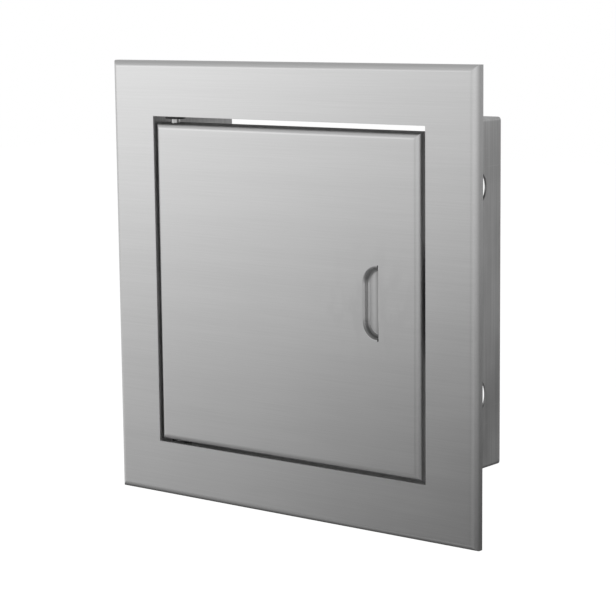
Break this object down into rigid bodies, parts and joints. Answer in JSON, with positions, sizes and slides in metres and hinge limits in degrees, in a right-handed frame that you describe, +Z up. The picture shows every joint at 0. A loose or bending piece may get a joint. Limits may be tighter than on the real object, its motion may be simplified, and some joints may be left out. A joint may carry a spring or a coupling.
{
  "type": "access panel",
  "caption": "Square flush access panel: a brushed steel frame with a hinged door, a pressed finger pull, a sprung hinge pin, a magnetic catch and a box that is built into the wall.",
  "frame": {"origin": "middle of the opening, in the plane of the wall face that the frame's rim lies against", "axes": "+X to the right seen from the front, +Y into the wall, +Z up"},
  "size_m": [0.2, 0.055, 0.2],
  "materials": {
    "brushed_sheet": "brushed stainless sheet, grain along X",
    "box_sheet": "mill-finish stainless sheet",
    "plated_steel": "bright zinc plate",
    "turned_steel": "drawn and turned stainless bar",
    "spring_steel": "drawn spring wire",
    "rivet_aluminium": "plain aluminium",
    "bush_plastic": "moulded black acetal",
    "catch_plastic": "moulded black plastic with a fine texture",
    "ferrite": "sintered ferrite"
  },
  "bodies": {
    "frame": {"face_frame": "brushed_sheet", "wall_box": "box_sheet", "seam_rivets": "rivet_aluminium", "upper_pivot_bush": "bush_plastic", "lower_pivot_bush": "bush_plastic", "catch_housing": "catch_plastic", "catch_magnet": "ferrite", "catch_pole_plates": "plated_steel", "catch_screws": "plated_steel"},
    "door": {"door_leaf": "brushed_sheet", "pin_guide": "plated_steel", "lower_hinge_lug": "plated_steel", "lower_pivot_pin": "turned_steel", "hinge_studs": "turned_steel", "hinge_nuts": "plated_steel", "strike_plate": "plated_steel", "strike_studs": "turned_steel", "strike_nuts": "plated_steel", "pin_spring": "spring_steel"},
    "hinge_pin": {"upper_pivot_pin": "turned_steel", "pin_clip": "plated_steel", "spring_washer": "plated_steel"}
  },
  "joints": [
    {"name": "door_hinge", "type": "hinge", "parent": "frame", "child": "door", "pos_m": [-0.0663, 0.0005, 0], "axis": [0, 0, -1], "range_deg": [0, 110]},
    {"name": "pin_draw", "type": "slide", "parent": "door", "child": "hinge_pin", "axis": [0, 0, -1], "range_m": [0, 0.0052], "stiffness_N_per_m": 300, "springref_m": -0.003, "deforming": ["pin_spring"]}
  ]
}
